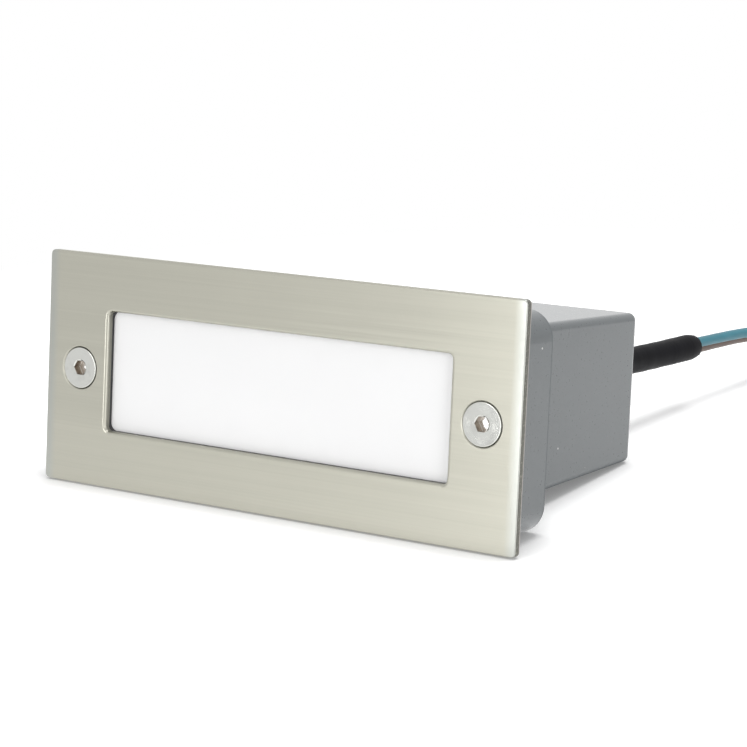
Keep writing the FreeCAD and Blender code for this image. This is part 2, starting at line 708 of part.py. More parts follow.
def tube(points, diameter, name):
    """A round solid along a route, with square ends: a rod for each run and a turned piece for each arc."""
    path = route_path(points, name)
    pieces = []
    for edge in path.OrderedEdges:
        start, end = edge.valueAt(edge.FirstParameter), edge.valueAt(edge.LastParameter)
        direction = edge.tangentAt(edge.FirstParameter)
        disc = Part.Face(Part.Wire(Part.makeCircle(diameter / 2, start, direction)))
        if isinstance(edge.Curve, Part.Circle):
            turn = math.degrees(edge.LastParameter - edge.FirstParameter)
            pieces.append(disc.revolve(edge.Curve.Center, edge.Curve.Axis, turn))
        else:
            pieces.append(disc.extrude(end - start))
    solid = pieces[0].multiFuse(pieces[1:])
    expected = math.pi * diameter ** 2 / 4 * path.Length
    print(name, "length", round(path.Length, 1), "volume over section x length",
          round(solid.Volume / expected, 4))
    return solid


def lead_route(side):
    """Both leads keep one offset from the shared line in the sleeve, then go their own ways."""
    shared = [point + LEAD_OFFSET * side for point in SHARED_ROUTE]
    return shared + (BLUE_TAIL if side > 0 else BROWN_TAIL)


def cable_sleeve():
    """The black sleeve round both leads, from inside the grommet to its square end."""
    thick = tube(SHARED_ROUTE, SLEEVE_DIAMETER, "cable_sleeve")
    reach = PLATE_WIDTH
    sleeve = thick.common(block((-reach, reach), (SLEEVE_START, SLEEVE_END), (-reach, reach)))
    for side in (-1, 1):
        sleeve = sleeve.cut(tube(lead_route(side), LEAD_DIAMETER + 2 * LEAD_CLEARANCE, "lead bore"))
    return sleeve


def tinned_ends():
    """The stripped and tinned ends of both leads."""
    ends = []
    for side in (-1, 1):
        route = lead_route(side)
        direction = route[-1] - route[-2]
        ends.append(Part.makeCylinder(TINNED_DIAMETER / 2, TINNED_LENGTH, route[-1], direction))
    return Part.makeCompound(ends)


def engine_wire(x, name):
    points = [Vector(x, WIRE_START_Y, BOARD_TOP), Vector(x, WIRE_START_Y, WIRE_Z), Vector(x, PAD_FRONT, WIRE_Z)]
    return tube(points, WIRE_DIAMETER, name)


def build():
    left, right = both_sides(SCREW_SPREAD)
    carrier_back = CARRIER_FRONT + CARRIER_THICKNESS
    return {
        "faceplate": faceplate(),
        "rim_gasket": rim_gasket(),
        "left_screw": cover_screw(left),
        "right_screw": cover_screw(right),
        "threaded_inserts": threaded_inserts(),
        "housing_casting": housing_casting(),
        "opal_lens": opal_lens(),
        "lens_gasket": lens_gasket(),
        "reflector_tray": reflector_tray(),
        "led_carrier": led_carrier(),
        "thermal_pad": thermal_pad(),
        "led_board": led_board(),
        "led_packages": led_packages(),
        "led_board_screws": small_screws(LED_SCREW_SPREAD, LED_BOARD_FRONT, carrier_back),
        "carrier_screws": small_screws(CARRIER_SCREW_SPREAD, CARRIER_FRONT, RIB_FRONT + SMALL_SCREW_REACH),
        "driver_board": driver_board(),
        "transformer_core": transformer_core(),
        "transformer_winding": transformer_winding(),
        "input_capacitor": can_capacitor(INPUT_CAPACITOR_PLACE, INPUT_CAPACITOR_SIZE),
        "output_capacitor": can_capacitor(OUTPUT_CAPACITOR_PLACE, OUTPUT_CAPACITOR_SIZE),
        "output_choke": output_choke(),
        "bridge_rectifier": rounded_component(BRIDGE_PLACE, BRIDGE_SIZE),
        "film_capacitor": rounded_component(FILM_CAPACITOR_PLACE, FILM_CAPACITOR_SIZE),
        "driver_chip": box_on_board(CHIP_PLACE, CHIP_SIZE),
        "fuse_resistor": fuse_resistor(),
        "input_terminal": input_terminal(),
        "engine_wire_red": engine_wire(WIRE_X[0], "engine_wire_red"),
        "engine_wire_black": engine_wire(WIRE_X[1], "engine_wire_black"),
        "cable_grommet": cable_grommet(),
        "cable_sleeve": cable_sleeve(),
        "blue_lead": tube(lead_route(1), LEAD_DIAMETER, "blue_lead"),
        "brown_lead": tube(lead_route(-1), LEAD_DIAMETER, "brown_lead"),
        "tinned_ends": tinned_ends(),
    }


os.makedirs("parts", exist_ok=True)
for node, shape in build().items():
    shape.exportStep("parts/" + node + ".step")
    print(node, "solids", len(shape.Solids), "valid", shape.isValid(), "volume", round(shape.Volume, 1))
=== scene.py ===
"""Recessed step light: detailed pieces, finishes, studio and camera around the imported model.

Metres, in the part's own frame: the wall's face is Y = 0, the light shines towards -Y, and +Z is up.
"""
import math

import bpy
from bpy.props import FloatProperty, FloatVectorProperty, PointerProperty
from bpy.types import Operator, Panel, PropertyGroup
from mathutils import Matrix, Vector


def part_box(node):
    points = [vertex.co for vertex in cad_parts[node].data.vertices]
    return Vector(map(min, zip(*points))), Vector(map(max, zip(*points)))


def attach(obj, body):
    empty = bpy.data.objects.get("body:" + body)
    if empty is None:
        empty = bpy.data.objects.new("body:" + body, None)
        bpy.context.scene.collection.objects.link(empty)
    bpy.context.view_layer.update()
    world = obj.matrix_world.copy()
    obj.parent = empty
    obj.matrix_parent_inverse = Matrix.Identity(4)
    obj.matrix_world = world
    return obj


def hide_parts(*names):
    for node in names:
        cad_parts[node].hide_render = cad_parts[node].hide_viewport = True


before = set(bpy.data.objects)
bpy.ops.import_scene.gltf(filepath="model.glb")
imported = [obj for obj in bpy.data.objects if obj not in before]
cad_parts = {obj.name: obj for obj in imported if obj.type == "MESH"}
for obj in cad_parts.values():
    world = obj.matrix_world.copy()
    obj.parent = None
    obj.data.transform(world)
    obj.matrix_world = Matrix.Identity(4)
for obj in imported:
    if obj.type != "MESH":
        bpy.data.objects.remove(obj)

bl_info = {
    "name": "Recessed step light",
    "version": (1, 0, 0),
    "blender": (4, 5, 0),
    "location": "View3D > Sidebar > Step Light",
    "description": "Builds the detailed pieces, finishes and studio of a recessed step light",
    "category": "Object",
}

MM = 0.001
SAME = 0.001 * MM             # slack for two coordinates that should be equal
NEAR = 0.02 * MM              # slack for a point that should lie on or inside an outline
PLATE_LOW, PLATE_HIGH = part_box("faceplate")
SCREW_LOW, SCREW_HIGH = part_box("right_screw")
SCREW_X = (SCREW_LOW.x + SCREW_HIGH.x) / 2
PLATE_FRONT = PLATE_LOW.y
ROLLED_EDGE = 2.8 * MM        # how far in the faceplate's face starts to turn over towards its edge
ROLLED_SLOPE = 0.068          # slope of the face at that edge
COLLAR_REAR = 14.6 * MM       # where the housing's collar ends, along Y
BOX_UNDERSIDE = -18.6 * MM    # height of the housing's underside there
BOX_RISE = 0.0612             # slope of that underside towards the rear
BENCH_CENTRE = 60.0 * MM      # where the middle of the bench is, along Y
BENCH_GAP = 0.2 * MM          # between the bench and the faceplate's lower edge


def size(name, description, default):
    return FloatProperty(name=name, description=description, default=default, unit="LENGTH", precision=5)


def power(name, description, default):
    return FloatProperty(name=name, description=description, default=default, unit="POWER")


def colour(name, description, default):
    return FloatVectorProperty(
        name=name, description=description, default=default, subtype="COLOR", size=3, min=0, max=1)


class FaceplateSizes(PropertyGroup):
    """Sizes of the brushed faceplate."""
    thickness: size("Sheet", "Thickness of the faceplate's sheet", 1.5 * MM)
    corner: size("Corner", "Radius of the faceplate's corners", 1.0 * MM)
    edge_round: size("Edge round", "Rounding of the faceplate's front edge", 0.25 * MM)
    window_width: size("Window width", "Width of the window", 87.0 * MM)
    window_height: size("Window height", "Height of the window", 25.8 * MM)
    window_corner: size("Window corner", "Radius of the window's corners", 1.1 * MM)
    window_round: size("Window round", "Rounding of the window's front edge", 0.72 * MM)
    sink_radius: size("Countersink", "Radius of the countersinks at the front", 4.78 * MM)


class LensSizes(PropertyGroup):
    """Sizes of the lens's raised face, which fills the gasket's opening."""
    face_width: size("Face width", "Width of the raised face", 87.1 * MM)
    face_height: size("Face height", "Height of the raised face", 25.9 * MM)
    face_corner: size("Face corner", "Radius of the raised face's corners", 1.85 * MM)
    face_rise: size("Face rise", "How far the face stands out of the lens", 0.5 * MM)
    face_round: size("Face round", "Rounding of the face's edge", 0.15 * MM)


class ScrewSizes(PropertyGroup):
    """Sizes of the countersunk hex-socket cover screws."""
    head_radius: size("Head radius", "Radius of the screw's head", 4.4 * MM)
    head_rim: size("Head rim", "Height of the head's straight rim", 0.15 * MM)
    shank_radius: size("Thread radius", "Outer radius of the thread", 2.5 * MM)
    core_radius: size("Core radius", "Radius at the thread's root", 2.1 * MM)
    pitch: size("Pitch", "Pitch of the thread", 0.8 * MM)
    length: size("Length", "Length from the head's face to the tip", 14.0 * MM)
    hex_flats: size("Socket", "Width of the hex socket across its flats", 3.0 * MM)
    hex_depth: size("Socket depth", "Depth of the hex socket", 2.0 * MM)


class CordSizes(PropertyGroup):
    """Sizes of the sleeve and the two supply leads."""
    lead_diameter: size("Lead", "Diameter of a lead's insulation", 2.4 * MM)
    sleeve_diameter: size("Sleeve", "Diameter of the sleeve", 6.0 * MM)
    sleeve_start: size("Sleeve start", "Where the sleeve starts, along Y", 61.0 * MM)
    sleeve_end: size("Sleeve end", "Where the sleeve ends, along Y", 114.7 * MM)
    strand_diameter: size("Strand", "Diameter of one tinned strand", 0.42 * MM)
    bare_length: size("Bare end", "Length of a stripped and tinned end", 8.0 * MM)


class Finishes(PropertyGroup):
    """Colours of the visible finishes."""
    plate: colour("Faceplate", "Brushed stainless steel", (0.445, 0.438, 0.378))
    screw: colour("Screws", "Turned stainless steel", (0.635, 0.64, 0.61))
    housing: colour("Housing", "Grey powder coat", (0.070, 0.084, 0.090))
    lens: colour("Lens", "Opal diffuser", (0.98, 0.98, 0.985))
    sleeve: colour("Sleeve", "Black shrunk sleeve", (0.005, 0.005, 0.0065))
    blue: colour("Blue lead", "Blue insulation", (0.030, 0.18, 0.235))
    brown: colour("Brown lead", "Brown insulation", (0.11, 0.066, 0.048))


class StudioSettings(PropertyGroup):
    """Lamp levels and camera of the studio."""
    lens: FloatProperty(name="Lens", description="Focal length of the camera", default=119.83, unit="CAMERA")
    tilt: FloatProperty(name="Bench tilt", description="Slope of the bench that the light leans back on",
                        default=math.radians(8.2), unit="ROTATION")
    bench: size("Bench", "Radius of the bench round the light", 260.0 * MM)
    ambient: FloatProperty(name="Ambient", description="Level of the surrounding light", default=0.50, min=0)
    key: power("Top lamp", "Power of the lamp overhead", 3.4)
    side: power("Side lamp", "Power of the lamp at the right", 1.5)
    front: power("Front lamp", "Power of the lamp in front", 1.85)


# Shader expressions

class Signal:
    """A shader output that takes part in Python expressions: each operator adds its Math node."""

    def __init__(self, shader, socket):
        self.shader = shader
        self.socket = socket

    def math(self, operation, first, second):
        return self.shader.node("ShaderNodeMath", {"operation": operation}, [first, second])

    def __add__(self, other):
        return self.math("ADD", self, other)

    def __sub__(self, other):
        return self.math("SUBTRACT", self, other)

    def __rsub__(self, other):
        return self.math("SUBTRACT", other, self)

    def __mul__(self, other):
        return self.math("MULTIPLY", self, other)

    def __pow__(self, other):
        return self.math("POWER", self, other)

    def __gt__(self, other):
        return self.math("GREATER_THAN", self, other)

    __radd__ = __add__
    __rmul__ = __mul__


class Shader:
    """The node tree of a new material or world, whose nodes all come from one method."""

    def __init__(self, owner):
        self.owner = owner
        self.owner.use_nodes = True
        self.tree = self.owner.node_tree
        self.tree.nodes.clear()

    def node(self, kind, settings=None, inputs=(), output=0):
        """A node of that kind: settings first, then its sockets' values or links."""
        made = self.tree.nodes.new(kind)
        for key, value in (settings or {}).items():
            setattr(made, key, value)
        pairs = inputs.items() if isinstance(inputs, dict) else enumerate(inputs)
        for key, value in pairs:
            socket = made.inputs[key]
            if isinstance(value, Signal):
                self.tree.links.new(value.socket, socket)
            elif socket.type == "RGBA" and len(value) == 3:
                socket.default_value = (*value, 1.0)
            else:
                socket.default_value = value
        return Signal(self, made.outputs[output]) if made.outputs else None

    def place(self):
        """Object coordinates, in metres."""
        return self.node("ShaderNodeTexCoord", output="Object")

    def axis(self, vector, name):
        return self.node("ShaderNodeSeparateXYZ", {}, [vector], output=name)

    def stretched(self, vector, scale):
        return self.node("ShaderNodeVectorMath", {"operation": "MULTIPLY"}, [vector, scale])

    def size_of(self, value):
        return self.node("ShaderNodeMath", {"operation": "ABSOLUTE"}, [value])

    def larger(self, first, second):
        return self.node("ShaderNodeMath", {"operation": "MAXIMUM"}, [first, second])

    def noise(self, vector, scale, detail=2.0, roughness=0.5):
        return self.node(
            "ShaderNodeTexNoise", {},
            {"Vector": vector, "Scale": scale, "Detail": detail, "Roughness": roughness})

    def cells(self, vector, scale, output="Distance"):
        return self.node("ShaderNodeTexVoronoi", {}, {"Vector": vector, "Scale": scale}, output)

    def scattered(self, vector, scale):
        """The distance to the nearest of many scattered points, and that point's own random number."""
        point = self.cells(vector, scale, "Position")
        return self.cells(vector, scale), self.node("ShaderNodeTexWhiteNoise", {}, {"Vector": point})

    def rays(self):
        """Two masks: for what the camera sees directly, and for what a reflection or glass shows."""
        names = ("Is Camera Ray", "Is Glossy Ray", "Is Transmission Ray")
        camera, glossy, passed = [self.node("ShaderNodeLightPath", output=name) for name in names]
        return camera, self.larger(glossy, passed)

    def levels(self, value, low, high, to_low=0.0, to_high=1.0):
        """A value's range low..high spread over to_low..to_high, and held inside it."""
        return self.node("ShaderNodeMapRange", {"clamp": True}, [value, low, high, to_low, to_high])

    def blend(self, factor, first, second):
        """From the first colour at 0 to the second at 1."""
        return self.node("ShaderNodeMix", {"data_type": "RGBA"}, {0: factor, 6: first, 7: second}, output=2)

    def bump(self, height, depth):
        return self.node("ShaderNodeBump", {}, {"Height": height, "Distance": depth, "Strength": 1.0})

    def surface(self, inputs):
        """Ends a material in a Principled shader and returns the material."""
        return self.end(self.node("ShaderNodeBsdfPrincipled", {}, inputs))

    def end(self, shader, kind="ShaderNodeOutputMaterial"):
        """Links a shader to the output node and returns the material or world."""
        self.node(kind, {}, {"Surface": shader})
        return self.owner


def tint(rgb, factor):
    return tuple(min(1.0, max(0.0, channel * factor)) for channel in rgb)


# Finishes

def brushed_steel(name, rgb, half_x, half_z, sizes):
    """Stainless sheet: a fine horizontal grain, faint streaks, handling marks and dull sheared edges.

    The face turns over a little along its ends and long edges, and its colour at its ends is cooler and a
    little darker, a painted tint on the reflection seen there.
    """
    s = Shader(bpy.data.materials.new(name))
    place = s.place()
    fine = s.noise(s.stretched(place, (12.0, 400.0, 2600.0)), 1.0, 3.0, 0.6)
    broad = s.noise(s.stretched(place, (5.0, 60.0, 320.0)), 1.0)
    smudge = s.noise(place, 38.0, 3.0, 0.55)
    streak = fine * 0.6 + broad * 0.4
    base = s.blend(s.levels(streak, 0.3, 0.7), tint(rgb, 0.95), tint(rgb, 1.045))
    base = s.blend(s.levels(smudge, 0.52, 0.75) * 0.10, base, tint(rgb, 0.86))
    rough = s.levels(fine, 0.25, 0.75, 0.29, 0.37) + s.levels(smudge, 0.5, 0.75, 0.0, 0.05)
    side = s.size_of(s.axis(place, "X"))
    level = s.size_of(s.axis(place, "Z"))
    depth = s.axis(place, "Y") - PLATE_FRONT
    corner, thickness = sizes.corner, sizes.thickness
    # Painted reflection: the ends' colour is made cooler and a little darker to tint the highlight on the
    # rolled ends.
    painted_cool_reflection = tuple(channel * reflection_tint for channel, reflection_tint in zip(rgb, (0.91, 0.945, 1.02)))
    base = s.blend(s.levels(side, half_x - ROLLED_EDGE, half_x - corner), base, painted_cool_reflection)
    past_x = s.larger(side - (half_x - corner), 0.0)
    past_z = s.larger(level - (half_z - corner), 0.0)
    sheared = (past_x * past_x + past_z * past_z) ** 0.5 > corner - NEAR
    chips = s.levels(s.noise(s.stretched(place, (2600.0, 1900.0, 1600.0)), 1.0, 2.0, 0.6), 0.55, 0.65)
    burr = s.levels(depth, thickness - 0.24 * MM, thickness - 0.14 * MM)
    cut = s.blend(chips * 0.6, tint(rgb, 0.30), tint(rgb, 0.80))
    cut = s.blend(burr, cut, (0.44, 0.41, 0.39))
    base = s.blend(sheared * s.levels(side, half_x - corner, half_x, 0.15, 0.95), base, cut)
    margin = 0.03 * MM
    within = sizes.window_width / 2 + margin - side > 0.0
    within = within * (sizes.window_height / 2 + margin - level > 0.0)
    blanked = within * s.levels(depth, sizes.window_round * 0.7, sizes.window_round * 1.1)
    base = s.blend(blanked * 0.85, base, tint(rgb, 0.62))
    rough = rough + sheared * 0.15 + blanked * 0.15
    turned_x = s.larger(side - (half_x - ROLLED_EDGE), 0.0)
    turned_z = s.larger(level - (half_z - ROLLED_EDGE), 0.0)
    rolled = (turned_x * turned_x + turned_z * turned_z) * (-0.5 * ROLLED_SLOPE / ROLLED_EDGE)
    height = streak * 0.000003 + rolled * (1.0 - sheared)
    return s.surface({"Base Color": base, "Metallic": 1.0, "Roughness": rough,
                      "Normal": s.bump(height, 1.0), "Anisotropic": 0.6, "Anisotropic Rotation": 0.25})


def turned_steel(name, rgb, centre_x, socket, socket_depth):
    """Steel with concentric tool marks round each screw's axis; the socket's walls are painted dark and warm
    as painted shade, and its floor pale as a painted highlight.
    """
    s = Shader(bpy.data.materials.new(name))
    place = s.place()
    across = s.size_of(s.axis(place, "X")) - centre_x
    up = s.axis(place, "Z")
    radius = (across * across + up * up) ** 0.5
    rings = s.node("ShaderNodeTexNoise", {"noise_dimensions": "1D"}, {"W": radius * 5200.0, "Detail": 2.0})
    grime = s.noise(place, 420.0, 3.0, 0.6)
    base = s.blend(s.levels(rings, 0.3, 0.7), tint(rgb, 0.80), tint(rgb, 1.10))
    base = s.blend(s.levels(grime, 0.5, 0.75) * 0.35, base, tint(rgb, 0.66))
    depth = s.axis(place, "Y") - PLATE_FRONT
    # Painted shade on the socket's walls and a painted highlight on its floor: the walls take a dark warm
    # colour, the floor a pale one.
    inside = (socket - radius > 0.0) * s.levels(depth, 0.15 * MM, 0.30 * MM)
    floor = s.levels(depth, socket_depth - 0.06 * MM, socket_depth - 0.01 * MM)
    base = s.blend(inside, base, s.blend(floor, (0.30, 0.25, 0.20), (0.86, 0.86, 0.85)))
    rough = s.levels(rings, 0.3, 0.7, 0.07, 0.13) + inside * 0.10
    return s.surface({"Base Color": base, "Metallic": 1.0, "Roughness": rough,
                      "Normal": s.bump(rings, 0.0000025)})


def powder_coat(name, rgb):
    """Grey powder coat on the housing: a fine orange peel, with sparse pale and dark specks.

    The coat is thin and dull on the collar's rear round and along the box's lower edges.
    """
    s = Shader(bpy.data.materials.new(name))
    place = s.place()
    along = s.axis(place, "Y")
    dull = s.levels(along, COLLAR_REAR - 1.7 * MM, COLLAR_REAR - 1.2 * MM)
    dull = dull * s.levels(along, COLLAR_REAR + 0.02 * MM, COLLAR_REAR + 0.1 * MM, 1.0, 0.0)
    above = s.axis(place, "Z") - BOX_UNDERSIDE - (along - COLLAR_REAR) * BOX_RISE
    dull = dull + s.levels(above, 0.7 * MM, 1.5 * MM, 1.0, 0.0) * (along > COLLAR_REAR)
    peel = s.noise(place, 1500.0, 3.0, 0.55)
    sag = s.noise(place, 90.0)
    spots, pick = s.scattered(place, 420.0)
    pale = ((pick - 0.955) * 2.6 - spots > 0.0) * (pick > 0.965)
    dark = (0.09 - spots > 0.0) * (0.02 - pick > 0.0)
    flecks, chosen = s.scattered(place, 1100.0)
    base = s.blend(s.levels(peel, 0.3, 0.7), tint(rgb, 0.98), tint(rgb, 1.02))
    base = s.blend(s.levels(sag, 0.35, 0.7) * 0.5, base, tint(rgb, 0.93))
    base = s.blend(s.levels(0.30 - flecks, 0.0, 0.15) * (chosen > 0.93) * 0.35, base, tint(rgb, 1.7))
    base = s.blend(pale * 0.8, base, (0.72, 0.72, 0.70))
    base = s.blend(dark * 0.8, base, (0.04, 0.04, 0.04))
    rough = s.levels(peel, 0.3, 0.7, 0.27, 0.31) + dull * 0.3
    height = peel * 0.7 + sag * 0.3
    return s.surface({"Base Color": base, "Metallic": 0.0, "Roughness": rough,
                      "Coat Weight": 0.68 - dull * 0.6, "Coat Roughness": 0.19,
                      "Normal": s.bump(height, 0.000003)})


def opal(name, rgb):
    """Opal acrylic: smooth, very faintly clouded."""
    s = Shader(bpy.data.materials.new(name))
    place = s.place()
    cloud = s.noise(place, 30.0)
    skin = s.noise(place, 900.0)
    base = s.blend(s.levels(cloud, 0.3, 0.7), tint(rgb, 0.985), tint(rgb, 1.015))
    return s.surface({"Base Color": base, "Roughness": s.levels(skin, 0.3, 0.7, 0.34, 0.42),
                      "Normal": s.bump(skin, 0.000003)})


def moulded(name, rgb, low, high, grain=900.0, depth=0.00001, spread=0.10):
    """Moulded or cast plastic and rubber, with a fine skin."""
    s = Shader(bpy.data.materials.new(name))
    place = s.place()
    skin = s.noise(place, grain, 3.0, 0.55)
    cloud = s.noise(place, 70.0)
    base = s.blend(s.levels(skin, 0.3, 0.7), tint(rgb, 1.0 - spread), tint(rgb, 1.0 + spread))
    base = s.blend(s.levels(cloud, 0.4, 0.7) * 0.35, base, tint(rgb, 0.86))
    return s.surface({"Base Color": base, "Roughness": s.levels(skin, 0.3, 0.7, low, high),
                      "Normal": s.bump(skin, depth)})


def foam(name, rgb):
    """Closed-cell foam rubber."""
    s = Shader(bpy.data.materials.new(name))
    place = s.place()
    cell = s.cells(place, 3200.0)
    tone = s.noise(place, 260.0)
    base = s.blend(s.levels(cell, 0.1, 0.6), tint(rgb, 0.78), tint(rgb, 1.10))
    base = s.blend(s.levels(tone, 0.4, 0.7) * 0.4, base, tint(rgb, 0.88))
    return s.surface({"Base Color": base, "Roughness": s.levels(cell, 0.1, 0.6, 0.72, 0.88),
                      "Normal": s.bump(cell, 0.00008)})


def plain_metal(name, rgb, low=0.2, high=0.4):
    """Plated, milled or turned metal on the inner parts."""
    s = Shader(bpy.data.materials.new(name))
    place = s.place()
    mark = s.noise(place, 700.0, 3.0, 0.6)
    cloud = s.noise(place, 120.0)
    base = s.blend(s.levels(mark, 0.3, 0.7), tint(rgb, 0.88), tint(rgb, 1.08))
    base = s.blend(s.levels(cloud, 0.4, 0.7) * 0.3, base, tint(rgb, 0.8))
    return s.surface({"Base Color": base, "Metallic": 1.0, "Roughness": s.levels(mark, 0.3, 0.7, low, high),
                      "Normal": s.bump(mark, 0.000006)})


def insulation(name, rgb):
    """Extruded lead insulation: a soft sheen with faint lines along the lead."""
    s = Shader(bpy.data.materials.new(name))
    place = s.place()
    draw = s.noise(s.stretched(place, (900.0, 30.0, 900.0)), 1.0)
    dust = s.noise(place, 350.0, 3.0, 0.6)
    base = s.blend(s.levels(draw, 0.3, 0.7), tint(rgb, 0.88), tint(rgb, 1.12))
    base = s.blend(s.levels(dust, 0.55, 0.8) * 0.22, base, tint(rgb, 1.6))
    return s.surface({"Base Color": base, "Roughness": s.levels(dust, 0.3, 0.7, 0.30, 0.44),
                      "Normal": s.bump(draw, 0.00001)})


def shrunk_sleeve(name, rgb):
    """Black sleeve shrunk over the leads: satin, with faint rings and scuffs."""
    s = Shader(bpy.data.materials.new(name))
    place = s.place()
    rings = s.noise(s.stretched(place, (60.0, 900.0, 60.0)), 1.0, 3.0, 0.55)
    scuff = s.noise(s.stretched(place, (300.0, 70.0, 300.0)), 1.0, 4.0, 0.65)
    base = s.blend(s.levels(scuff, 0.5, 0.75) * 0.5, rgb, tint(rgb, 2.4))
    base = s.blend(s.levels(rings, 0.3, 0.7) * 0.4, base, tint(rgb, 0.7))
    rough = s.levels(scuff, 0.35, 0.7, 0.36, 0.52)
    return s.surface({"Base Color": base, "Roughness": rough, "Specular IOR Level": 0.06,
                      "Normal": s.bump(rings * 0.6 + scuff * 0.4, 0.00005)})


def studio_floor(name):
    """A pale floor that shows white to the camera and keeps the object's shadow.

    The camera also sees a soft contact shadow on it, and its rim fades into white.
    """
    s = Shader(bpy.data.materials.new(name))
    white = (1.0, 1.0, 1.0)
    camera, mirrored = s.rays()
    pale = s.blend(s.noise(s.place(), 6.0), (0.86, 0.86, 0.86), (0.88, 0.88, 0.88))
    open_sky = s.node("ShaderNodeAmbientOcclusion", {"samples": 8}, {"Distance": 12.0 * MM}, output="AO")
    shown = s.blend(s.levels(open_sky, 0.15, 0.95, 0.42, 1.0), (0.0, 0.0, 0.0), (1.18, 1.18, 1.18))
    soft = s.node("ShaderNodeBsdfDiffuse", {}, {"Color": s.blend(camera, pale, shown)})
    strength = mirrored * 0.45 + camera * 0.18
    glow = s.node("ShaderNodeEmission", {}, {"Color": white, "Strength": strength})
    near = s.node("ShaderNodeAddShader", {}, [soft, glow])
    offset = s.node("ShaderNodeVectorMath", {"operation": "SUBTRACT"}, [s.place(), (0.0, BENCH_CENTRE, 0.0)])
    away = s.node("ShaderNodeVectorMath", {"operation": "LENGTH"}, [offset], output="Value")
    rim = s.larger(mirrored, camera) * s.levels(away, 0.17, 0.25)
    far = s.node("ShaderNodeEmission", {}, {"Color": white})
    return s.end(s.node("ShaderNodeMixShader", {}, [rim, near, far]))


def finish_node(name, material):
    """Gives a CAD node its material, in every slot of its object."""
    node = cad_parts[name]
    if not node.material_slots:
        node.data.materials.append(material)
    for slot in node.material_slots:
        slot.material = material


# Modelling helpers

def deselect():
    if bpy.context.object and bpy.context.object.mode != "OBJECT":
        bpy.ops.object.mode_set(mode="OBJECT")
    bpy.ops.object.select_all(action="DESELECT")


def added(name):
    """The object that a primitive operator has just added, named and with its place in its mesh."""
    piece = bpy.context.object
    piece.name = name
    piece.data.name = name
    bpy.ops.object.transform_apply(location=True, rotation=True, scale=True)
    return piece


def only(piece):
    deselect()
    bpy.context.view_layer.objects.active = piece
    piece.select_set(True)


def edit(piece):
    """Goes into edit mode with the whole piece selected."""
    only(piece)
    bpy.ops.object.mode_set(mode="EDIT")
    bpy.ops.mesh.select_all(action="SELECT")


def move(piece, offset):
    """Moves a piece and keeps its place in its mesh."""
    only(piece)
    bpy.ops.transform.translate(value=offset)
    bpy.ops.object.transform_apply(location=True, rotation=True, scale=True)


def linked(name, data):
    """A new object in the scene, made from that data."""
    piece = bpy.data.objects.new(name, data)
    bpy.context.scene.collection.objects.link(piece)
    return piece


def box(name, low, high):
    deselect()
    centre = [(a + b) / 2 for a, b in zip(low, high)]
    extent = [b - a for a, b in zip(low, high)]
    bpy.ops.mesh.primitive_cube_add(size=1.0, location=centre, scale=extent)
    return added(name)


def round_bar(name, x, start, end, radius, end_radius):
    """A cylinder or cone along Y at that x, from start to end."""
    deselect()
    bpy.ops.mesh.primitive_cone_add(
        vertices=96, radius1=radius, radius2=end_radius, depth=end - start,
        location=(x, (start + end) / 2, 0.0), rotation=(-math.pi / 2, 0.0, 0.0))
    return added(name)


def choose(piece, kind, wanted):
    """Goes into edit mode with exactly those edges or faces selected that wanted accepts."""
    only(piece)
    bpy.ops.object.mode_set(mode="EDIT")
    bpy.ops.mesh.select_mode(type=kind)
    bpy.ops.mesh.select_all(action="DESELECT")
    bpy.ops.object.mode_set(mode="OBJECT")
    points = piece.data.vertices
    chosen = 0
    if kind == "EDGE":
        for edge in piece.data.edges:
            edge.select = wanted(points[edge.vertices[0]].co, points[edge.vertices[1]].co)
            chosen += edge.select
    else:
        for face in piece.data.polygons:
            face.select = wanted(face.center, face.normal)
            chosen += face.select
    if not chosen:
        raise RuntimeError(piece.name + ": nothing was found to select")
    bpy.ops.object.mode_set(mode="EDIT")


def both(test):
    """Accepts an edge when both of its ends pass the test."""
    return lambda a, b: test(a) and test(b)


def bevel(piece, wanted, width, segments):
    choose(piece, "EDGE", wanted)
    bpy.ops.mesh.bevel(offset=width, offset_type="OFFSET", segments=segments, profile=0.5, affect="EDGES")
    bpy.ops.object.mode_set(mode="OBJECT")


def along_y(a, b):
    return abs(a.x - b.x) < SAME and abs(a.z - b.z) < SAME


def combine(piece, tool, operation):
    """Applies a Boolean with the tool and deletes the tool."""
    only(piece)
    modifier = piece.modifiers.new("Boolean", "BOOLEAN")
    modifier.operation = operation
    modifier.solver = "EXACT"
    modifier.object = tool
    bpy.ops.object.modifier_apply(modifier=modifier.name)
    bpy.data.objects.remove(tool)


def tidy(piece, degrees=28.0):
    """Merges doubles, turns faces outwards and shades smooth where the surface bends gently."""
    edit(piece)
    bpy.ops.mesh.remove_doubles(threshold=SAME)
    bpy.ops.mesh.normals_make_consistent(inside=False)
    bpy.ops.object.mode_set(mode="OBJECT")
    bpy.ops.object.shade_smooth_by_angle(angle=math.radians(degrees))
    modifier = piece.modifiers.new("Normals", "WEIGHTED_NORMAL")
    modifier.keep_sharp = True
    bpy.ops.object.modifier_apply(modifier=modifier.name)


def copied(piece, name):
    twin = piece.copy()
    twin.data = piece.data.copy()
    twin.name = name
    twin.data.name = name
    bpy.context.scene.collection.objects.link(twin)
    return twin


def placed(piece, body, material, nodes=()):
    """Finishes a piece: its material, the body it rides on and the nodes it stands for."""
    piece.data.materials.clear()
    piece.data.materials.append(material)
    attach(piece, body)
    if nodes:
        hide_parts(*nodes)


# Control points of the cord's routes, in mm. The heights of five are up to 0.6 mm below those in the
# part's source, to follow the photograph

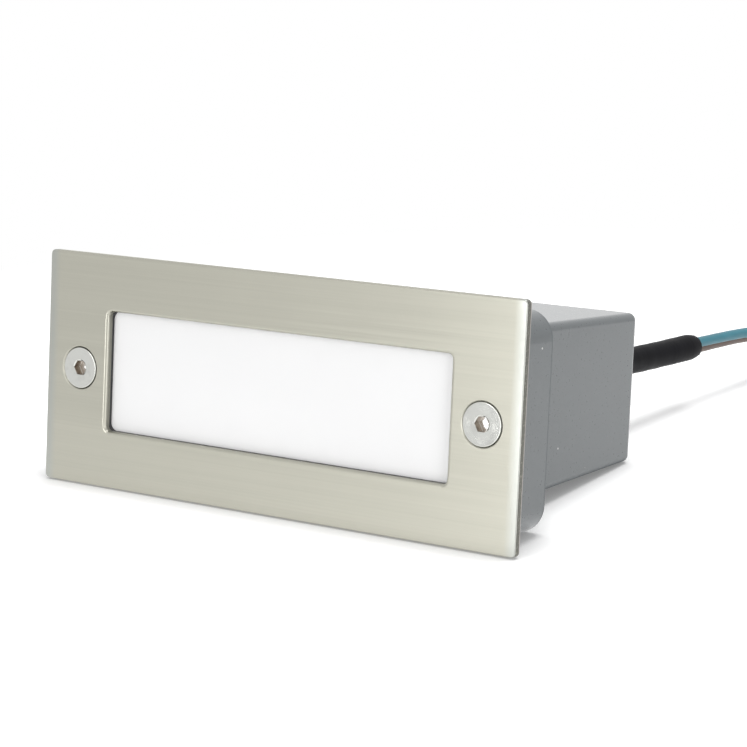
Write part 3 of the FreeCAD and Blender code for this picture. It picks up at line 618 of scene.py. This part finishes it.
CORD_X = 34.0
LEAD_OFFSET = Vector((0.9, 0.0, 0.95))
SHARED_ROUTE = [
    (CORD_X, 44.0, 0.3),
    (CORD_X, 50.0, 0.3),
    (CORD_X, 57.0, 3.6),
    (CORD_X, 72.0, 3.3),
    (CORD_X + 1.0, 95.0, 3.8),
    (CORD_X + 3.6, 118.0, 5.7),
]
BLUE_TAIL = [
    (41.6, 139.0, 7.9),
    (44.8, 158.0, 7.0),
    (47.6, 175.0, 2.0),
    (49.6, 190.0, 3.7),
    (50.8, 201.0, 5.3),
]
BROWN_TAIL = [
    (39.4, 138.6, 6.4),
    (40.6, 156.5, 4.9),
    (41.2, 172.5, 1.5),
    (41.0, 187.0, 3.2),
    (40.2, 197.6, 4.8),
]


def lead_points(side):
    """A lead's route in metres: one offset from the shared line, then its own tail."""
    shared = [Vector(point) + LEAD_OFFSET * side for point in SHARED_ROUTE]
    tail = [Vector(point) for point in (BLUE_TAIL if side > 0 else BROWN_TAIL)]
    return [point * MM for point in shared + tail]


def nurbs(name, points, diameter):
    """A smooth curve with those control points."""
    data = bpy.data.curves.new(name, "CURVE")
    data.dimensions = "3D"
    data.resolution_u = 16
    spline = data.splines.new("NURBS")
    spline.points.add(len(points) - 1)
    for control, point in zip(spline.points, points):
        control.co = (*point, 1.0)
    spline.order_u = 3
    spline.use_endpoint_u = True
    data.bevel_depth = diameter / 2
    data.bevel_resolution = 6
    data.use_fill_caps = True
    return linked(name, data)


def spline_points(points):
    """The points of the smooth curve that has those control points."""
    line = nurbs("route_reader", points, 0.0)
    line.data.use_fill_caps = False
    mesh = bpy.data.meshes.new_from_object(line)
    found = [vertex.co.copy() for vertex in mesh.vertices]
    bpy.data.meshes.remove(mesh)
    bpy.data.objects.remove(line)
    return found


def swept(name, path, radii, sides=32):
    """A closed round tube along a path, made of a bevelled curve with its own radius at each point."""
    data = bpy.data.curves.new(name, "CURVE")
    data.dimensions = "3D"
    data.bevel_depth = 1.0
    data.bevel_resolution = sides // 4 - 1
    data.use_fill_caps = True
    spline = data.splines.new("POLY")
    spline.points.add(len(path) - 1)
    for control, point, radius in zip(spline.points, path, radii):
        control.co = (*point, 1.0)
        control.radius = radius
    only(linked(name, data))
    bpy.ops.object.convert(target="MESH")
    piece = bpy.context.object
    piece.name = name
    piece.data.name = name
    return piece


# Operators

class StepLightFaceplate(Operator):
    """Model the brushed faceplate with its window and countersinks"""
    bl_idname = "step_light.faceplate"
    bl_label = "Faceplate"

    def execute(self, context):
        sizes = context.scene.step_light_faceplate
        half_x, half_z = PLATE_HIGH.x, PLATE_HIGH.z
        back = PLATE_FRONT + sizes.thickness
        plate = box("brushed_faceplate", (-half_x, PLATE_FRONT, -half_z), (half_x, back, half_z))
        bevel(plate, along_y, sizes.corner, 8)

        window_x, window_z = sizes.window_width / 2, sizes.window_height / 2
        opening = box("opening", (-window_x, PLATE_FRONT - MM, -window_z), (window_x, back + MM, window_z))
        bevel(opening, along_y, sizes.window_corner, 8)
        combine(plate, opening, "DIFFERENCE")
        radius = sizes.sink_radius
        extra = 0.5 * MM    # by which each 45 degree cone passes the sheet in front and behind
        for x in (-SCREW_X, SCREW_X):
            sink = round_bar("sink", x, PLATE_FRONT - extra, back + extra,
                             radius + extra, radius - sizes.thickness - extra)
            combine(plate, sink, "DIFFERENCE")

        rim_x, rim_z = half_x - sizes.corner, half_z - sizes.corner

        def at_front(point):
            return abs(point.y - PLATE_FRONT) < SAME

        def in_window(point):
            return at_front(point) and abs(point.x) < window_x + NEAR and abs(point.z) < window_z + NEAR

        def on_rim(point):
            return at_front(point) and (abs(point.x) > rim_x - NEAR or abs(point.z) > rim_z - NEAR)

        def on_sink(point):
            return at_front(point) and abs(math.hypot(abs(point.x) - SCREW_X, point.z) - radius) < NEAR

        sink_round = 0.08 * MM
        bevel(plate, both(in_window), sizes.window_round, 6)
        bevel(plate, both(on_rim), sizes.edge_round, 4)
        bevel(plate, both(on_sink), sink_round, 2)
        tidy(plate)
        material = brushed_steel("brushed_faceplate", context.scene.step_light_finishes.plate,
                                 half_x, half_z, sizes)
        placed(plate, "front_cover", material, ["faceplate"])
        return {"FINISHED"}


class StepLightLens(Operator):
    """Model the opal lens with the raised face that shows in the window"""
    bl_idname = "step_light.lens"
    bl_label = "Lens"

    def execute(self, context):
        sizes = context.scene.step_light_lens
        lens = linked("opal_window_lens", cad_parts["opal_lens"].data.copy())
        edit(lens)
        bpy.ops.mesh.remove_doubles(threshold=SAME)
        bpy.ops.object.mode_set(mode="OBJECT")
        half_x, half_z = sizes.face_width / 2, sizes.face_height / 2
        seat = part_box("opal_lens")[0].y
        front = seat - sizes.face_rise
        overlap = 0.5 * MM
        face = box("face", (-half_x, front, -half_z), (half_x, seat + overlap, half_z))
        bevel(face, along_y, sizes.face_corner, 10)
        bevel(face, both(lambda point: abs(point.y - front) < SAME), sizes.face_round, 3)
        combine(lens, face, "UNION")
        tidy(lens)
        placed(lens, "housing", opal("opal_lens", context.scene.step_light_finishes.lens),
               ["opal_lens"])
        return {"FINISHED"}


class StepLightScrews(Operator):
    """Model one countersunk hex-socket screw with its thread, and copy it to the other side"""
    bl_idname = "step_light.screws"
    bl_label = "Cover screws"

    def execute(self, context):
        sizes = context.scene.step_light_screws
        face = PLATE_FRONT
        cone_end = face + sizes.head_rim + sizes.head_radius - sizes.shank_radius
        tip = face + sizes.length
        neck, relief, lead_in = 0.6 * MM, 0.25 * MM, 0.5 * MM
        run_out, rim_round = 0.7 * MM, 0.18 * MM
        screw = round_bar("right_cover_screw", SCREW_X, face, face + sizes.head_rim,
                          sizes.head_radius, sizes.head_radius)

        def stretch(length, scale):
            bpy.ops.mesh.extrude_region_move(TRANSFORM_OT_translate={"value": (0.0, length, 0.0)})
            bpy.ops.transform.resize(value=(scale, 1.0, scale), center_override=(SCREW_X, 0.0, 0.0))

        choose(screw, "FACE", lambda centre, normal: normal.y > 0.9)
        stretch(cone_end - face - sizes.head_rim, sizes.shank_radius / sizes.head_radius)
        stretch(neck, 1.0)
        stretch(relief, sizes.core_radius / sizes.shank_radius)
        stretch(tip - cone_end - (neck + relief) - lead_in, 1.0)
        stretch(lead_in, 0.82)
        bpy.ops.object.mode_set(mode="OBJECT")

        corner = sizes.hex_flats / math.sqrt(3)
        deselect()
        bpy.ops.mesh.primitive_cylinder_add(
            vertices=6, radius=corner, depth=sizes.hex_depth + MM,
            location=(SCREW_X, face + (sizes.hex_depth - MM) / 2, 0.0),
            rotation=(math.pi / 2, 0.0, 0.0))
        socket = added("socket")
        edit(socket)
        bpy.ops.transform.rotate(value=math.radians(30.0), orient_axis="Y",
                                 center_override=(SCREW_X, face, 0.0))
        bpy.ops.object.mode_set(mode="OBJECT")
        combine(screw, socket, "DIFFERENCE")
        mouth = round_bar("mouth", SCREW_X, face - 0.12 * MM, face + 0.18 * MM,
                          corner + 0.25 * MM, corner - 0.14 * MM)
        combine(screw, mouth, "DIFFERENCE")
        bottom = face + sizes.hex_depth
        drilled = round_bar("drilled", SCREW_X, bottom - 0.02 * MM, bottom + 0.55 * MM,
                            sizes.hex_flats / 2 - 0.06 * MM, 0.05 * MM)
        combine(screw, drilled, "DIFFERENCE")

        def on_head(point):
            away = math.hypot(point.x - SCREW_X, point.z)
            return abs(point.y - face) < SAME and abs(away - sizes.head_radius) < NEAR

        bevel(screw, both(on_head), rim_round, 3)

        thread = self.thread(sizes, cone_end + run_out, tip - run_out)
        combine(screw, thread, "UNION")
        tidy(screw, 32.0)
        twin = copied(screw, "left_cover_screw")
        move(twin, (-2 * SCREW_X, 0.0, 0.0))
        material = turned_steel("turned_screw_steel", context.scene.step_light_finishes.screw,
                                SCREW_X, corner + 0.1 * MM, sizes.hex_depth)
        placed(screw, "right_cover_screw", material, ["right_screw"])
        placed(twin, "left_cover_screw", material, ["left_screw"])
        return {"FINISHED"}

    def thread(self, sizes, start, end):
        """A helical ridge round the core, made by the Screw modifier from one triangle."""
        deselect()
        bpy.ops.mesh.primitive_circle_add(vertices=3, radius=0.3 * MM, fill_type="NOTHING")
        ridge = added("thread")
        low = sizes.core_radius - 0.12 * MM
        high = sizes.shank_radius
        half = 0.42 * sizes.pitch
        for point, place in zip(ridge.data.vertices, ((low, -half), (high, 0.0), (low, half))):
            point.co = (place[0], place[1], 0.0)
        modifier = ridge.modifiers.new("Helix", "SCREW")
        modifier.axis = "Y"
        modifier.angle = math.tau
        modifier.screw_offset = sizes.pitch
        modifier.iterations = int((end - start) / sizes.pitch)
        modifier.steps = 40
        modifier.render_steps = 40
        modifier.use_normal_calculate = True
        only(ridge)
        bpy.ops.object.modifier_apply(modifier=modifier.name)
        bpy.ops.object.mode_set(mode="EDIT")
        bpy.ops.mesh.select_mode(type="EDGE")
        bpy.ops.mesh.select_all(action="DESELECT")
        bpy.ops.mesh.select_non_manifold()
        bpy.ops.mesh.fill_holes(sides=4)
        bpy.ops.mesh.select_all(action="SELECT")
        bpy.ops.mesh.normals_make_consistent(inside=False)
        bpy.ops.object.mode_set(mode="OBJECT")
        lowest = min(vertex.co.y for vertex in ridge.data.vertices)
        move(ridge, (SCREW_X, start - lowest, 0.0))
        return ridge


class StepLightCord(Operator):
    """Model the two supply leads, the sleeve round them and their tinned ends"""
    bl_idname = "step_light.cord"
    bl_label = "Supply cord"

    def execute(self, context):
        sizes = context.scene.step_light_cord
        finishes = context.scene.step_light_finishes
        sleeve = self.sleeve(sizes)
        placed(sleeve, "housing",
               shrunk_sleeve("shrunk_sleeve", finishes.sleeve), ["cable_sleeve"])
        tin = plain_metal("tinned_copper", (0.70, 0.70, 0.69), 0.22, 0.38)
        for side, shade, rgb in ((1, "blue", finishes.blue), (-1, "brown", finishes.brown)):
            points = lead_points(side)
            lead = nurbs(shade + "_supply_lead", points, sizes.lead_diameter)
            skin = insulation(shade + "_insulation", rgb)
            placed(lead, "housing", skin, [shade + "_lead"])
            strands = self.strands(shade + "_tinned_strands", points[-2], points[-1], sizes)
            placed(strands, "housing", tin, ["tinned_ends"] if side > 0 else ())
            path = spline_points(points)
        return {"FINISHED"}

    def sleeve(self, sizes):
        """The sleeve follows the shared line, a little uneven, and drawn in at its open end."""
        line = spline_points([Vector(point) * MM for point in SHARED_ROUTE])
        path = [point for point in line if sizes.sleeve_start <= point.y <= sizes.sleeve_end]
        radius = 1.01 * sizes.sleeve_diameter / 2
        taper, narrowest = 2.4 * MM, 0.74
        radii = []
        for index, point in enumerate(path):
            wave = 0.008 * math.sin(index * 1.9) + 0.006 * math.sin(index * 0.83 + 1.1)
            to_end = min(1.0, max(0.0, (sizes.sleeve_end - point.y) / taper))
            radii.append(radius * (1.0 + wave) * (narrowest + (1.0 - narrowest) * to_end ** 0.8))
        return swept("shrunk_cable_sleeve", path, radii)

    def strands(self, name, before, end, sizes):
        """Seven tinned strands with a slight twist, beyond the end of the insulation."""
        along = (end - before).normalized()
        across = along.orthogonal().normalized()
        over = along.cross(across)
        twist, hidden = 12.0 * MM, 0.6 * MM
        outer, steps = 6, 12
        made = []
        for index in range(outer + 1):
            ring = 0.96 * sizes.strand_diameter if index < outer else 0.0
            path = []
            for step in range(steps + 1):
                reach = 0.995 * sizes.bare_length * step / steps if step else -hidden
                angle = math.tau * (index / outer + reach / twist)
                offset = (across * math.cos(angle) + over * math.sin(angle)) * ring
                path.append(end + along * reach + offset)
            made.append(swept(name, path, [sizes.strand_diameter / 2] * len(path), 12))
        deselect()
        for piece in made:
            piece.select_set(True)
        bpy.context.view_layer.objects.active = made[0]
        bpy.ops.object.join()
        piece = bpy.context.object
        piece.name = name
        bpy.ops.object.shade_smooth_by_angle(angle=math.radians(40.0))
        return piece


class StepLightFinishes(Operator):
    """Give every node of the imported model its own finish"""
    bl_idname = "step_light.finishes"
    bl_label = "Finishes"

    def execute(self, context):
        finishes = context.scene.step_light_finishes
        zinc = plain_metal("zinc_plated", (0.70, 0.71, 0.70))
        black_moulding = moulded("black_epoxy", (0.035, 0.035, 0.036), 0.45, 0.6)
        can = moulded("capacitor_sleeve", (0.04, 0.045, 0.055), 0.22, 0.34, 400.0)
        ferrite = moulded("sintered_ferrite", (0.075, 0.075, 0.08), 0.6, 0.78, 1400.0, 0.00002)
        given = {
            "rim_gasket": foam("foam_gasket", (0.78, 0.78, 0.76)),
            "threaded_inserts": plain_metal("turned_brass", (0.72, 0.55, 0.27), 0.24, 0.4),
            "housing_casting": powder_coat("powder_coat", finishes.housing),
            "lens_gasket": moulded("grey_rubber", (0.055, 0.055, 0.057), 0.5, 0.66, 1300.0, 0.00001),
            "cable_grommet": moulded("black_rubber", (0.022, 0.022, 0.023), 0.5, 0.66, 1300.0, 0.00001),
            "reflector_tray": moulded("white_tray", (0.84, 0.84, 0.83), 0.42, 0.55, 700.0, 0.000008, 0.03),
            "led_carrier": plain_metal("carrier_aluminium", (0.74, 0.75, 0.76), 0.3, 0.46),
            "thermal_pad": foam("thermal_pad", (0.40, 0.42, 0.45)),
            "led_board": moulded("white_mask", (0.82, 0.83, 0.81), 0.3, 0.42, 500.0, 0.000005, 0.04),
            "led_packages": moulded("yellow_phosphor", (0.82, 0.68, 0.20), 0.4, 0.55, 900.0, 0.00001, 0.08),
            "led_board_screws": zinc,
            "carrier_screws": zinc,
            "driver_board": moulded("green_mask", (0.03, 0.16, 0.07), 0.28, 0.42, 600.0, 0.00001, 0.14),
            "transformer_core": ferrite,
            "output_choke": ferrite,
            "transformer_winding": moulded(
                "winding_tape", (0.66, 0.50, 0.08), 0.25, 0.38, 300.0, 0.00002, 0.08),
            "input_capacitor": can,
            "output_capacitor": can,
            "bridge_rectifier": black_moulding,
            "driver_chip": black_moulding,
            "film_capacitor": moulded("film_capacitor", (0.58, 0.42, 0.06), 0.3, 0.42, 500.0, 0.00001, 0.08),
            "fuse_resistor": moulded("resistor_body", (0.14, 0.28, 0.22), 0.3, 0.45, 800.0, 0.00001, 0.1),
            "input_terminal": moulded("terminal_green", (0.05, 0.26, 0.12), 0.35, 0.5, 700.0, 0.00001, 0.1),
            "engine_wire_red": insulation("red_insulation", (0.42, 0.025, 0.02)),
            "engine_wire_black": insulation("black_insulation", (0.025, 0.025, 0.026)),
        }
        for name, material in given.items():
            finish_node(name, material)
        return {"FINISHED"}


class StepLightStudio(Operator):
    """Set up the floor, the lamps, the surrounding light and the camera"""
    bl_idname = "step_light.studio"
    bl_label = "Studio"

    def execute(self, context):
        settings = context.scene.step_light_studio
        deselect()
        bpy.ops.mesh.primitive_circle_add(vertices=96, radius=settings.bench, fill_type="NGON")
        floor = added("studio_floor")
        edit(floor)
        height = PLATE_LOW.z - BENCH_GAP
        bpy.ops.transform.translate(value=(0.0, BENCH_CENTRE, height))
        bpy.ops.transform.rotate(value=-settings.tilt, orient_axis="X",
                                 center_override=(0.0, PLATE_HIGH.y, height))
        bpy.ops.object.mode_set(mode="OBJECT")
        floor.data.materials.append(studio_floor("studio_floor"))
        self.world(settings)
        self.lamp("top_lamp", settings.key, 0.28, 0.40, (0.10, 0.07, 0.78))
        self.lamp("side_lamp", settings.side, 0.3, 0.6, (0.70, -0.40, 0.08))
        self.lamp("front_lamp", settings.front, 0.2, 0.7, (-0.235, -0.815, 0.12))
        self.camera(settings)
        context.scene.view_settings.view_transform = "Standard"
        return {"FINISHED"}

    def world(self, settings):
        """Pale light from all round, which the camera, reflections and glass see as white."""
        world = bpy.data.worlds.new("studio")
        bpy.context.scene.world = world
        s = Shader(world)
        level = s.levels(s.larger(*s.rays()), 0.0, 1.0, settings.ambient, 1.0)
        light = s.node("ShaderNodeBackground", {}, {"Color": (1.0, 1.0, 1.0), "Strength": level})
        s.end(light, "ShaderNodeOutputWorld")

    def lamp(self, name, power, width, height, place):
        """A soft box that faces the light."""
        data = bpy.data.lights.new(name, "AREA")
        data.shape = "RECTANGLE"
        data.size = width
        data.size_y = height
        data.energy = power
        lamp = linked(name, data)
        lamp.location = place
        aim = Vector((0.0, 0.03, 0.0)) - Vector(place)
        lamp.rotation_euler = aim.to_track_quat("-Z", "Y").to_euler()

    def camera(self, settings):
        """The camera's turn, place and shift are fitted to the photograph's perspective."""
        yaw, pitch, roll = 0.5926242197, 0.1175979461, 0.0445608673
        forward = Vector((-math.sin(yaw) * math.cos(pitch), math.cos(yaw) * math.cos(pitch),
                          -math.sin(pitch)))
        level = Vector((math.cos(yaw), math.sin(yaw), 0.0))
        above = level.cross(forward)
        right = math.cos(roll) * level + math.sin(roll) * above
        up = -math.sin(roll) * level + math.cos(roll) * above
        place = Vector((0.298758, -0.407271, 0.070510))
        data = bpy.data.cameras.new("camera")
        data.sensor_width = 36.0
        data.lens = settings.lens
        data.shift_x = -0.0044
        data.shift_y = -0.0376
        data.clip_start = 0.01
        camera = linked("camera", data)
        turn = Matrix((right, up, -forward)).transposed()
        camera.matrix_world = Matrix.Translation(place) @ turn.to_4x4()
        bpy.context.scene.camera = camera


class StepLightPanel(Panel):
    """The step light's operators, in the 3D view's sidebar"""
    bl_idname = "VIEW3D_PT_step_light"
    bl_label = "Step Light"
    bl_space_type = "VIEW_3D"
    bl_region_type = "UI"
    bl_category = "Step Light"

    def draw(self, context):
        for operator in OPERATORS:
            self.layout.operator(operator.bl_idname)


GROUPS = {
    "step_light_faceplate": FaceplateSizes,
    "step_light_lens": LensSizes,
    "step_light_screws": ScrewSizes,
    "step_light_cord": CordSizes,
    "step_light_finishes": Finishes,
    "step_light_studio": StudioSettings,
}
OPERATORS = [StepLightFinishes, StepLightFaceplate, StepLightLens, StepLightScrews, StepLightCord,
             StepLightStudio]


def register():
    for group in GROUPS.values():
        bpy.utils.register_class(group)
    for operator in OPERATORS:
        bpy.utils.register_class(operator)
    bpy.utils.register_class(StepLightPanel)
    for name, group in GROUPS.items():
        setattr(bpy.types.Scene, name, PointerProperty(type=group))


def unregister():
    for name in GROUPS:
        delattr(bpy.types.Scene, name)
    bpy.utils.unregister_class(StepLightPanel)
    for item in OPERATORS + list(GROUPS.values()):
        bpy.utils.unregister_class(item)


def main():
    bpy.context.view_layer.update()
    register()
    bpy.ops.step_light.finishes()
    bpy.ops.step_light.faceplate()
    bpy.ops.step_light.lens()
    bpy.ops.step_light.screws()
    bpy.ops.step_light.cord()
    bpy.ops.step_light.studio()


if __name__ == "__main__":
    main()
